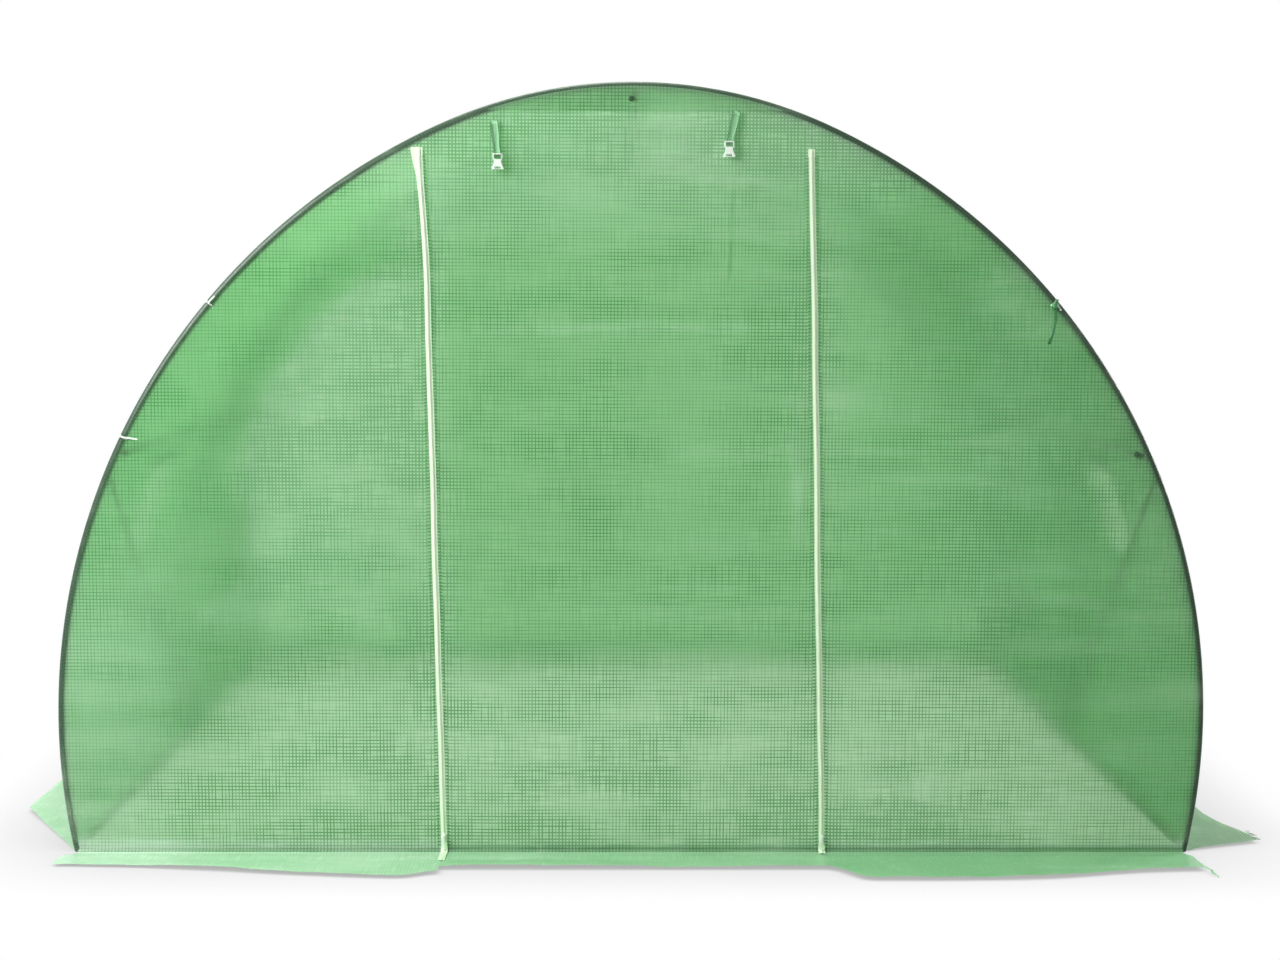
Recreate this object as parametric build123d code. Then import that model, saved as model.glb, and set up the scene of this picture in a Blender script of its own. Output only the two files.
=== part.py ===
import math
import os

from build123d import *

os.makedirs("parts", exist_ok=True)

# Outside of the tunnel
tunnel_width = 3000
tunnel_height = 2000
tunnel_length = 3000
crown_radius = 1205
side_radius = 1700
middle_share = 0.5

# Film and the tubes it is stretched over
film = 2
film_gap = 1
tube_diameter = 19
tube_wall = 1
spigot_length = 45
spigot_clearance = 0.2
swage_shoulder = 5
leg_joint_height = 690
side_joint_height = 1450

# Purlins, braces and base rails
purlin_height = 1050
purlin_overhang = 7
brace_diameter = 16
brace_wall = 1
brace_drop = 55
brace_foot_height = 70

# Door, zips and the straps that hold the rolled door
door_width = 1000
door_shift = -28
zip_width = 20
zip_thickness = 1.5
slider_width = 12
slider_height = 16
slider_thickness = 5
pull_width = 6
pull_height = 34
pull_thickness = 2
slider_lift = 22
strap_width = 24
strap_thickness = 1.5
strap_drop = 108
strap_spacing = 610
strap_shift = -50
buckle_width = 33
buckle_bar_width = 29
buckle_height = 46
buckle_thickness = 8
buckle_waist = 21
buckle_bar_height = 12
buckle_slot_width = 20
buckle_slot_height = 4
buckle_mouth_height = 9
prong_slot_width = 17
prong_slot_height = 7
prong_slot_lift = 6

# Windows in the side walls
window_head_height = 970
window_height = 255
window_length = 280
net_thickness = 1
roll_radius = 20
roll_lift = 24
roll_overhang = 25
roll_core_share = 0.35

# Skirts on the ground
skirt_width = 200
skirt_mitre = 200
front_skirt_end = 115
door_skirt_width = 112
cut_margin = 40

# Lines of the arch that follow from those
tube_radius = tube_diameter / 2
brace_radius = brace_diameter / 2
side_centre_x = tunnel_width / 2 - side_radius
crown_lean = math.degrees(math.asin(-side_centre_x / (side_radius - crown_radius)))
crown_centre_z = tunnel_height - crown_radius
side_centre_z = crown_centre_z - (side_radius - crown_radius) * math.cos(math.radians(crown_lean))
quarter_turn = 90
junction = quarter_turn - crown_lean
tube_depth = film + film_gap + tube_radius
purlin_depth = tube_depth + tube_diameter
front_y = -tunnel_length / 2
front_hoop_y = front_y + tube_depth
hoop_spacing = 2 * middle_share * -front_hoop_y
hoop_rows = {"front": front_hoop_y, "middle": front_hoop_y + hoop_spacing, "back": -front_hoop_y}
bay_middle = (hoop_rows["front"] + hoop_rows["middle"]) / 2
zip_left = door_shift - door_width / 2
zip_right = door_shift + door_width / 2


def side_angle(height, depth):
    """Angle on the side arc at a height, for a line that lies this deep under the outside."""
    return math.degrees(math.asin((height - side_centre_z) / (side_radius - depth)))


def side_point(angle, depth):
    """X and Z on the right side arc."""
    turn = math.radians(angle)
    reach = side_radius - depth
    return side_centre_x + reach * math.cos(turn), side_centre_z + reach * math.sin(turn)


def side_arc(start, end, depth):
    return CenterArc((side_centre_x, side_centre_z), side_radius - depth, start, end - start)


def crown_arc(depth):
    return CenterArc((0, crown_centre_z), crown_radius - depth, junction, 2 * crown_lean)


def other_side(shape):
    return mirror(shape, about=Plane.YZ)


def upright(edges):
    """A face from lines drawn in X and height, stood up facing the front."""
    return Plane.XZ * make_face(edges)


def along(face, start, end):
    """The face run out along the tunnel between two stations."""
    return extrude(Pos(0, start, 0) * face, amount=end - start, dir=(0, 1, 0))


def arch_face(depth):
    """The whole end outline of the tunnel, this deep under the outside."""
    foot = side_angle(0, depth)
    right = side_arc(foot, junction, depth)
    ground = Line((-side_point(foot, depth)[0], 0), (side_point(foot, depth)[0], 0))
    return upright([right, crown_arc(depth), other_side(right), ground])


def strip_face(start_outer, end_outer, start_inner, end_inner, outer, inner):
    """A curved strip of the side arc between two depths."""
    return upright([
        side_arc(start_outer, end_outer, outer),
        Line(side_point(end_outer, outer), side_point(end_inner, inner)),
        side_arc(start_inner, end_inner, inner),
        Line(side_point(start_inner, inner), side_point(start_outer, outer)),
    ])


def roof_face(start, outer, inner):
    """The strip over the crown, from one side to the other."""
    right_outer = side_arc(start, junction, outer)
    right_inner = side_arc(start, junction, inner)
    edge = Line(side_point(start, outer), side_point(start, inner))
    return upright([
        right_outer,
        crown_arc(outer),
        other_side(right_outer),
        other_side(edge),
        other_side(right_inner),
        crown_arc(inner),
        right_inner,
        edge,
    ])


def side_section(angle, outer, inner, depth):
    """A ring across the hoop at an angle on the side arc."""
    x, z = side_point(angle, depth)
    turn = math.radians(angle)
    across = Plane(
        origin=(x, 0, z), x_dir=(math.cos(turn), 0, math.sin(turn)), z_dir=(-math.sin(turn), 0, math.cos(turn))
    )
    ring = Circle(outer)
    if inner > 0:
        ring = ring - Circle(inner)
    return across * ring


def bend(section, start, end):
    """The section swept round the side arc."""
    axis = Axis((side_centre_x, 0, side_centre_z), (0, -1, 0))
    return revolve(section, axis=axis, revolution_arc=end - start)


def bend_crown(section, sweep):
    """The section swept round the crown, from the junction to the ridge or past it."""
    return revolve(section, axis=Axis((0, 0, crown_centre_z), (0, -1, 0)), revolution_arc=sweep)


def arc_angle(length, depth):
    return math.degrees(length / (side_radius - depth))


bore_radius = tube_radius - tube_wall
spigot_radius = bore_radius - spigot_clearance
spigot_bore = spigot_radius - tube_wall
leg_joint = side_angle(leg_joint_height, tube_depth)
side_joint = side_angle(side_joint_height, tube_depth)
foot_angle = side_angle(0, tube_depth)
below_ground = side_angle(-cut_margin, tube_depth)
ground_block = Pos(0, 0, -cut_margin) * Box(2 * tunnel_width, 2 * tunnel_length, 2 * cut_margin)


def side_tube(start, end, outer, inner):
    return bend(side_section(start, outer, inner, tube_depth), start, end)


def swaged(start, end):
    """A side tube whose upper end is drawn in to enter the next tube."""
    shoulder = arc_angle(swage_shoulder, tube_depth)
    reach = arc_angle(spigot_length, tube_depth)
    body = side_tube(start, end, tube_radius, bore_radius)
    neck = side_tube(end - shoulder, end, tube_radius, spigot_bore)
    return body + neck + side_tube(end, end + reach, spigot_radius, spigot_bore)


def crown_tube(outer, inner):
    """The bent crown of a hoop, from side joint to side joint."""
    right = side_tube(side_joint, junction, outer, inner)
    top = bend_crown(side_section(junction, outer, inner, tube_depth), 2 * crown_lean)
    return right + top + other_side(right)


# Hoops: two legs, two side tubes and a crown
leg = swaged(below_ground, leg_joint) - ground_block
side = swaged(leg_joint, side_joint)
crown = crown_tube(tube_radius, bore_radius)
nodes = {}
for row, y in hoop_rows.items():
    nodes[row + "_hoop_legs"] = Pos(0, y, 0) * Compound([leg, other_side(leg)])
    nodes[row + "_hoop_sides"] = Pos(0, y, 0) * Compound([side, other_side(side)])
    nodes[row + "_hoop_crown"] = Pos(0, y, 0) * crown

# Purlins: tubes under the hoops, in two lengths that join at the middle hoop
purlin_angle = side_angle(purlin_height, purlin_depth)
purlin_x, purlin_z = side_point(purlin_angle, purlin_depth)
purlin_stations = [(0, tunnel_height - purlin_depth), (purlin_x, purlin_z), (-purlin_x, purlin_z)]


def straight_tube(x, z, start, end, outer, inner):
    ring = Plane.XZ * (Circle(outer) - Circle(inner))
    return along(Pos(x, 0, z) * ring, start, end)


def front_purlin(x, z):
    start = hoop_rows["front"] - purlin_overhang
    joint = hoop_rows["middle"]
    body = straight_tube(x, z, start, joint, tube_radius, bore_radius)
    neck = straight_tube(x, z, joint - swage_shoulder, joint, tube_radius, spigot_bore)
    return body + neck + straight_tube(x, z, joint, joint + spigot_length, spigot_radius, spigot_bore)


def back_purlin(x, z):
    end = hoop_rows["back"] + purlin_overhang
    return straight_tube(x, z, hoop_rows["middle"], end, tube_radius, bore_radius)


nodes["front_purlins"] = Compound([front_purlin(x, z) for x, z in purlin_stations])
nodes["back_purlins"] = Compound([back_purlin(x, z) for x, z in purlin_stations])

# Base rails: tubes on the ground, across the ends shaped to the legs, along the sides cut square against them
leg_rod = side_tube(below_ground, leg_joint, tube_radius, 0)
leg_rods = [Pos(0, y, 0) * rod for y in hoop_rows.values() for rod in (leg_rod, other_side(leg_rod))]
rail_angle = side_angle(tube_radius, tube_depth)
rail_x = side_point(rail_angle, tube_depth)[0]


def end_rail(y):
    ring = Plane.YZ * (Circle(tube_radius) - Circle(bore_radius))
    rail = extrude(Pos(-rail_x, y, tube_radius) * ring, amount=2 * rail_x, dir=(1, 0, 0))
    for rod in leg_rods:
        rail = rail - rod
    return max(rail.solids(), key=lambda piece: piece.volume)


def side_rail(start, end):
    return straight_tube(rail_x, tube_radius, start + tube_radius, end - tube_radius, tube_radius, bore_radius)


nodes["front_base_rail"] = end_rail(hoop_rows["front"])
nodes["back_base_rail"] = end_rail(hoop_rows["back"])
rails = [side_rail(hoop_rows["front"], hoop_rows["middle"]), side_rail(hoop_rows["middle"], hoop_rows["back"])]
nodes["side_base_rails"] = Compound(rails + [other_side(rail) for rail in rails])

# Braces: from the end hoops under the purlin down to the foot of the middle hoop
brace_top = side_angle(purlin_height - brace_drop, tube_depth)
brace_foot = side_angle(brace_foot_height, tube_depth)
side_rod = side_tube(leg_joint, side_joint, tube_radius, 0)


def brace(row):
    top_x, top_z = side_point(brace_top, tube_depth)
    foot_x, foot_z = side_point(brace_foot, tube_depth)
    top = Vector(top_x, hoop_rows[row], top_z)
    foot = Vector(foot_x, hoop_rows["middle"], foot_z)
    line = foot - top
    across = Plane(origin=top, z_dir=line)
    tube = extrude(across * (Circle(brace_radius) - Circle(brace_radius - brace_wall)), amount=line.length)
    tube = tube - Pos(0, hoop_rows[row], 0) * side_rod
    tube = tube - Pos(0, hoop_rows["middle"], 0) * leg_rod
    return max(tube.solids(), key=lambda piece: piece.volume)


for row in ("front", "back"):
    right_brace = brace(row)
    nodes[row + "_braces"] = Compound([right_brace, other_side(right_brace)])

# Cover: five strips of film welded along the tunnel
cover_start = hoop_rows["front"]
cover_end = hoop_rows["back"]
lower_seam = side_angle(leg_joint_height, 0)
upper_seam = side_angle(side_joint_height, 0)
lower_face = strip_face(side_angle(0, 0), lower_seam, side_angle(0, film), lower_seam, 0, film)
window_face = strip_face(lower_seam, upper_seam, lower_seam, upper_seam, 0, film)
sill = side_angle(window_head_height - window_height, 0)
head = side_angle(window_head_height, 0)
hole_face = strip_face(sill, head, sill, head, -film, 2 * film)
net_outer = (film - net_thickness) / 2
net_inner = net_outer + net_thickness
net_face = strip_face(sill, head, sill, head, net_outer, net_inner)
bays = (bay_middle, -bay_middle)


def window_piece(face, middle, overhang):
    half = window_length / 2 + overhang
    return along(face, middle - half, middle + half)


lower_cover = along(lower_face, cover_start, cover_end)
window_cover = along(window_face, cover_start, cover_end)
for middle in bays:
    window_cover = window_cover - window_piece(hole_face, middle, 0)
nodes["right_lower_cover"] = lower_cover
nodes["left_lower_cover"] = other_side(lower_cover)
nodes["right_window_cover"] = window_cover
nodes["left_window_cover"] = other_side(window_cover)
nodes["roof_cover"] = along(roof_face(upper_seam, 0, film), cover_start, cover_end)

# Window nets, and the flaps rolled up above them
nets = [window_piece(net_face, middle, 0) for middle in bays]
roll_angle = side_angle(window_head_height + roll_lift, 0)
roll_x, roll_z = side_point(roll_angle, -roll_radius)
roll_face = Plane.XZ * (Circle(roll_radius) - Circle(roll_core_share * roll_radius))
rolls = [window_piece(Pos(roll_x, 0, roll_z) * roll_face, middle, roll_overhang) for middle in bays]
nodes["right_window_nets"] = Compound(nets)
nodes["left_window_nets"] = Compound([other_side(net) for net in nets])
nodes["right_window_flaps"] = Compound(rolls)
nodes["left_window_flaps"] = Compound([other_side(roll) for roll in rolls])

# End walls: the front in two panels and a door, the back in one piece
wall_face = arch_face(tube_depth)


def upright_band(start, end, bottom, top):
    corners = [(start, bottom), (end, bottom), (end, top), (start, top)]
    return Plane.XZ * make_face(Polyline(corners, close=True))


def wall_between(start, end, bottom):
    return wall_face & upright_band(start, end, bottom, tunnel_height)


nodes["front_wall_left"] = along(wall_between(-tunnel_width, zip_left, 0), front_y, front_y + film)
nodes["front_wall_right"] = along(wall_between(zip_right, tunnel_width, 0), front_y, front_y + film)
nodes["front_door"] = along(wall_between(zip_left, zip_right, 0), front_y, front_y + film)
nodes["back_wall"] = along(wall_face, -front_y - film, -front_y)

# Hems: the film turned round the end hoops, cut square at the foot
hem_outer = tube_radius + film_gap + film
hem_inner = tube_radius + film_gap


def hem_section(angle):
    x, z = side_point(angle, tube_depth)
    turn = math.radians(angle)
    across = Plane(
        origin=(x, 0, z), x_dir=(math.cos(turn), 0, math.sin(turn)), z_dir=(-math.sin(turn), 0, math.cos(turn))
    )
    outer = CenterArc((0, 0), hem_outer, -quarter_turn, quarter_turn)
    inner = CenterArc((0, 0), hem_inner, -quarter_turn, quarter_turn)
    front_edge = Line((0, -hem_outer), (0, -hem_inner))
    cover_edge = Line((hem_inner, 0), (hem_outer, 0))
    return across * make_face([outer, cover_edge, inner, front_edge])


hem_foot = max(side_angle(0, 0), foot_angle)
hem_right = bend(hem_section(hem_foot), hem_foot, junction)
hem_top = bend_crown(hem_section(junction), 2 * crown_lean)
hem = hem_right + hem_top + other_side(hem_right)
nodes["front_hem"] = Pos(0, hoop_rows["front"], 0) * hem
nodes["back_hem"] = mirror(nodes["front_hem"], about=Plane.XZ)

# Zips up both sides of the door, with a slider and pull at the ground
zip_front = front_y - zip_thickness


def zip_fastener(x):
    tape = along(wall_between(x - zip_width / 2, x + zip_width / 2, film), zip_front, front_y)
    middle = film + slider_lift
    block = Box(slider_width, slider_thickness, slider_height)
    block = Pos(x, zip_front - slider_thickness / 2, middle + slider_height / 2) * block
    pull = Box(pull_width, pull_thickness, pull_height)
    pull_y = zip_front - slider_thickness - pull_thickness / 2
    pull = Pos(x, pull_y, middle + slider_height - pull_height / 2) * pull
    return tape + block + pull


nodes["left_zip"] = zip_fastener(zip_left)
nodes["right_zip"] = zip_fastener(zip_right)

# Straps and buckles for the rolled door
strap_stations = (strap_shift - strap_spacing / 2, strap_shift + strap_spacing / 2)


def arch_height(x, depth):
    """Height of the crown at a distance from the middle."""
    reach = crown_radius - depth
    return crown_centre_z + math.sqrt(reach * reach - x * x)


def strap(x):
    foot = arch_height(x, tube_depth) - strap_drop
    face = wall_between(x - strap_width / 2, x + strap_width / 2, foot)
    return along(face, front_y - strap_thickness, front_y)


def buckle(x):
    """A buckle half: a bar with a slot for the strap, a waist, and a mouth that flares downwards."""
    top = arch_height(x, tube_depth) - strap_drop
    bar_foot = top - buckle_bar_height
    foot = top - buckle_height
    mouth_top = foot + buckle_mouth_height
    outline = make_face(Polyline([
        (x - buckle_bar_width / 2, top),
        (x + buckle_bar_width / 2, top),
        (x + buckle_bar_width / 2, bar_foot),
        (x + buckle_waist / 2, bar_foot),
        (x + buckle_waist / 2, mouth_top),
        (x + buckle_width / 2, foot),
        (x - buckle_width / 2, foot),
        (x - buckle_waist / 2, mouth_top),
        (x - buckle_waist / 2, bar_foot),
        (x - buckle_bar_width / 2, bar_foot),
    ], close=True))
    bar_slot = Pos(x, (top + bar_foot) / 2) * Rectangle(buckle_slot_width, buckle_slot_height)
    prong_slot = Pos(x, foot + prong_slot_lift) * Rectangle(prong_slot_width, prong_slot_height)
    return along(Plane.XZ * (outline - bar_slot - prong_slot), front_y - buckle_thickness, front_y)


nodes["door_straps"] = Compound([strap(x) for x in strap_stations])
nodes["door_buckles"] = Compound([buckle(x) for x in strap_stations])

# Skirts that lie on the ground
foot_x = side_point(side_angle(0, 0), 0)[0]
wall_foot_x = side_point(foot_angle, tube_depth)[0]
tunnel_block = along(arch_face(0), front_y, -front_y)


def flat(corners):
    return extrude(make_face(Polyline(corners, close=True)), amount=film)


side_skirt = flat([
    (foot_x - cut_margin, front_hoop_y),
    (foot_x, front_hoop_y),
    (foot_x + skirt_width, front_hoop_y + skirt_mitre),
    (foot_x + skirt_width, -front_hoop_y - skirt_mitre),
    (foot_x, -front_hoop_y),
    (foot_x - cut_margin, -front_hoop_y),
]) - tunnel_block
nodes["right_skirt"] = side_skirt
nodes["left_skirt"] = other_side(side_skirt)
nodes["front_skirt_left"] = flat([
    (-wall_foot_x, front_y),
    (zip_left, front_y),
    (zip_left, front_y - skirt_width),
    (-wall_foot_x, front_y - front_skirt_end),
])
nodes["front_skirt_right"] = flat([
    (zip_right, front_y),
    (wall_foot_x, front_y),
    (wall_foot_x, front_y - front_skirt_end),
    (zip_right, front_y - skirt_width),
])
nodes["door_skirt"] = flat([
    (zip_left, front_y),
    (zip_right, front_y),
    (zip_right, front_y - door_skirt_width),
    (zip_left, front_y - door_skirt_width),
])
nodes["back_skirt"] = flat([
    (-wall_foot_x, -front_y),
    (wall_foot_x, -front_y),
    (wall_foot_x, -front_y + front_skirt_end),
    (wall_foot_x - skirt_mitre, -front_y + skirt_width),
    (-wall_foot_x + skirt_mitre, -front_y + skirt_width),
    (-wall_foot_x, -front_y + front_skirt_end),
])

for name, shape in nodes.items():
    solids = shape.solids()
    piece = solids[0] if len(solids) == 1 else Compound(solids)
    piece.label = name
    export_step(piece, "parts/" + name + ".step")
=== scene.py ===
import math

import bmesh
import bpy
from mathutils import Matrix, Vector, noise


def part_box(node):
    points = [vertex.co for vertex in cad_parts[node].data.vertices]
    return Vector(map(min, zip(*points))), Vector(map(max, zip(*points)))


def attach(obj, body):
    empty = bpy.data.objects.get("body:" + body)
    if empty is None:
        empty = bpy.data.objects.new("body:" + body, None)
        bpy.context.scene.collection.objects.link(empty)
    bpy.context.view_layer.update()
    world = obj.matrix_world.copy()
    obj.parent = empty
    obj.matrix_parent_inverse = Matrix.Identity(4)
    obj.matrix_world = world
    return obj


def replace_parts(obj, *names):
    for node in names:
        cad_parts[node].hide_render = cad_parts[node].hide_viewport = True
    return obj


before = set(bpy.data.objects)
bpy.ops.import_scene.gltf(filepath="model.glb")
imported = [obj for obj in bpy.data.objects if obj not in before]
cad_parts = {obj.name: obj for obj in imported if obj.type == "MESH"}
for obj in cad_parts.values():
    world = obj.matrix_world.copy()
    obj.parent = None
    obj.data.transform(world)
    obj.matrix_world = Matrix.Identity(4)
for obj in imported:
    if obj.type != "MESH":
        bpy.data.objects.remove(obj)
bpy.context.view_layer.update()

# Arch of the tunnel, as the solids have it
crown_radius = 1.205
side_radius = 1.7
film = 0.002
hem_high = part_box("front_hem")[1]
half_width = round(hem_high.x, 3)
height = round(hem_high.z, 3)
door_low, door_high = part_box("front_door")
front_y = door_low.y
leg_low, leg_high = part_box("front_hoop_legs")
hoop_y = -(leg_low.y + leg_high.y) / 2
tube_radius = (leg_high.y - leg_low.y) / 2
hem_radius = -hoop_y - front_y
zip_left = door_low.x
zip_right = door_high.x
net_low, net_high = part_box("right_window_nets")

# Windows and their rolled flaps
window_length = 0.28
window_middle = net_high.y - window_length / 2
flap_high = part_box("right_window_flaps")[1]

# Skirts
left_skirt_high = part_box("left_skirt")[1]
front_skirt_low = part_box("front_skirt_left")[0]
door_skirt_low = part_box("door_skirt")[0]
back_skirt_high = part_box("back_skirt")[1]
skirt_end = 0.115
door_skirt_more = 0.045
door_skirt_width = front_y - door_skirt_low.y + door_skirt_more
wall_foot_x = -front_skirt_low.x

# Weave of the film
thread_pitch = 0.0088
thread_half_share = 0.13
thread_soft_share = 0.05
thread_crisp_share = 0.11
thread_wear = (0.12, 0.58)
net_pitch = 0.0035
film_clear = (0.735, 0.93, 0.705, 1.0)
hem_clear = (0.70, 0.86, 0.72, 1.0)
mist_green = (0.56, 0.78, 0.55)
# brighter green of film lying on the ground: painted light from the white floor under it
floor_lit_green = (0.29, 0.82, 0.36)
# pale green that painted light and haze pale the film towards
pale_lit_green = (0.83, 1.0, 0.85)

# Lines of the arch that follow from those
side_centre_x = half_width - side_radius
crown_lean = math.asin(-side_centre_x / (side_radius - crown_radius))
crown_centre_z = height - crown_radius
side_centre_z = crown_centre_z - (side_radius - crown_radius) * math.cos(crown_lean)
junction = math.pi / 2 - crown_lean
crown_half = crown_radius * crown_lean
foot_turn = math.asin(-side_centre_z / side_radius)
arch_half = crown_half + side_radius * (junction - foot_turn)


def on_arch(run, depth):
    """X and Z under the arch's outside: run goes along the outside from the ridge, depth goes inwards."""
    reach = abs(run)
    if reach < crown_half:
        turn = reach / crown_radius
        x = (crown_radius - depth) * math.sin(turn)
        z = crown_centre_z + (crown_radius - depth) * math.cos(turn)
    else:
        turn = junction - (reach - crown_half) / side_radius
        x = side_centre_x + (side_radius - depth) * math.cos(turn)
        z = side_centre_z + (side_radius - depth) * math.sin(turn)
    return math.copysign(x, run), z


def run_at(z):
    """How far down the outside of the arch a height on the side lies."""
    turn = math.asin((z - side_centre_z) / side_radius)
    return crown_half + side_radius * (junction - turn)


def arch_x(z, depth):
    """Half the width of the arch at a height."""
    reach = crown_radius - depth
    seam = crown_centre_z + reach * math.cos(crown_lean)
    if z >= seam:
        return math.sqrt(max(reach * reach - (z - crown_centre_z) ** 2, 0))
    reach = side_radius - depth
    return side_centre_x + math.sqrt(reach * reach - (z - side_centre_z) ** 2)


def arch_z(x, depth):
    """Height of the arch at a distance from the middle."""
    reach = crown_radius - depth
    if abs(x) <= reach * math.sin(crown_lean):
        return crown_centre_z + math.sqrt(reach * reach - x * x)
    reach = side_radius - depth
    return side_centre_z + math.sqrt(reach * reach - (abs(x) - side_centre_x) ** 2)


def smooth(value, low, high):
    """A soft step from 0 at low to 1 at high."""
    share = min(max((value - low) / (high - low), 0), 1)
    return share * share * (3 - 2 * share)


def mix(a, b, share):
    return a + (b - a) * share


def ripple(a, b, c=0.0):
    """Soft random waves between about -1 and 1."""
    return noise.noise(Vector((a, b, c)))


class Value:
    """A shader socket that can stand in a sum."""

    def __init__(self, finish, socket):
        self.finish = finish
        self.socket = socket

    def math(self, operation, *others):
        return self.finish.node("ShaderNodeMath", {"operation": operation}, dict(enumerate((self, *others))))

    def __add__(self, other):
        return self.math("ADD", other)

    __radd__ = __add__

    def __sub__(self, other):
        return self.math("SUBTRACT", other)

    def __rsub__(self, other):
        return self.finish.node("ShaderNodeMath", {"operation": "SUBTRACT"}, {0: other, 1: self})

    def __mul__(self, other):
        return self.math("MULTIPLY", other)

    __rmul__ = __mul__

    def __truediv__(self, other):
        return self.math("DIVIDE", other)

    def step(self, low, high):
        """A soft step from 0 at low to 1 at high."""
        settings = {"interpolation_type": "SMOOTHSTEP"}
        return self.finish.node("ShaderNodeMapRange", settings, {0: self, 1: low, 2: high, 3: 0.0, 4: 1.0})


class Finish:
    """A material, or the light all round, while its nodes are added."""

    def __init__(self, name, owner=None):
        self.owner = owner or bpy.data.materials.new(name)
        self.owner.use_nodes = True
        self.tree = self.owner.node_tree
        self.tree.nodes.clear()

    def node(self, kind, settings=None, inputs=None, output=0):
        """One node: its settings first, then the values or links of its sockets."""
        made = self.tree.nodes.new(kind)
        for key, value in (settings or {}).items():
            setattr(made, key, value)
        for key, value in (inputs or {}).items():
            if isinstance(value, Value):
                self.tree.links.new(value.socket, made.inputs[key])
            else:
                made.inputs[key].default_value = value
        return Value(self, made.outputs[output])

    def place(self):
        """Where a point of the piece lies."""
        return self.node("ShaderNodeTexCoord", output="Object")

    def axis(self, where, letter):
        """One coordinate of a place."""
        return self.node("ShaderNodeSeparateXYZ", inputs={0: where}, output=letter)

    def mark(self, name):
        """A value that each point of the cloth carries."""
        return self.node("ShaderNodeAttribute", {"attribute_name": name}, output="Fac")

    def ray(self, kind):
        return self.node("ShaderNodeLightPath", output=kind)

    def ribs(self, scale, waver):
        """Level ribs of a woven band."""
        settings = {"wave_type": "BANDS", "bands_direction": "Z"}
        inputs = {"Vector": self.place(), "Scale": scale, "Distortion": waver}
        return self.node("ShaderNodeTexWave", settings, inputs, "Fac")

    def noise(self, scale, detail=2.0, stretch=None, where=None):
        where = where or self.place()
        if stretch:
            where = self.node("ShaderNodeMapping", inputs={"Vector": where, "Scale": stretch})
        return self.node("ShaderNodeTexNoise", inputs={"Vector": where, "Scale": scale, "Detail": detail})

    def blend(self, a, b, share):
        """One colour changed to another."""
        colours = {0: share}
        for key, colour in ((6, a), (7, b)):
            colours[key] = colour if isinstance(colour, Value) else (*colour, 1)
        return self.node("ShaderNodeMix", {"data_type": "RGBA"}, colours, 2)

    def bump(self, raised, strength, distance):
        inputs = {"Height": raised, "Strength": strength, "Distance": distance}
        return self.node("ShaderNodeBump", inputs=inputs)

    def surface(self, colour, rough, normal=None, metallic=0.0):
        inputs = {"Base Color": colour, "Roughness": rough, "Metallic": metallic}
        if normal:
            inputs["Normal"] = normal
        return self.node("ShaderNodeBsdfPrincipled", inputs=inputs)

    def mixed(self, share, a, b):
        """One shader changed to another."""
        return self.node("ShaderNodeMixShader", inputs={0: share, 1: a, 2: b})

    def done(self, shader, kind="ShaderNodeOutputMaterial"):
        out = self.tree.nodes.new(kind)
        self.tree.links.new(shader.socket, out.inputs["Surface"])
        return self.owner


def off_middle(run, pitch):
    """How far a place lies from the middle of its mesh, as a share of the pitch."""
    return ((run / pitch).math("FRACT") - 0.5).math("ABSOLUTE")


def thread_lines(run, crisp):
    """Lines of the woven grid along one way of the flat cloth, wider where it is crisp."""
    off = off_middle(run, thread_pitch) + crisp * thread_crisp_share
    return off.step(0.5 - thread_half_share - thread_soft_share, 0.5 - thread_half_share)


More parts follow.
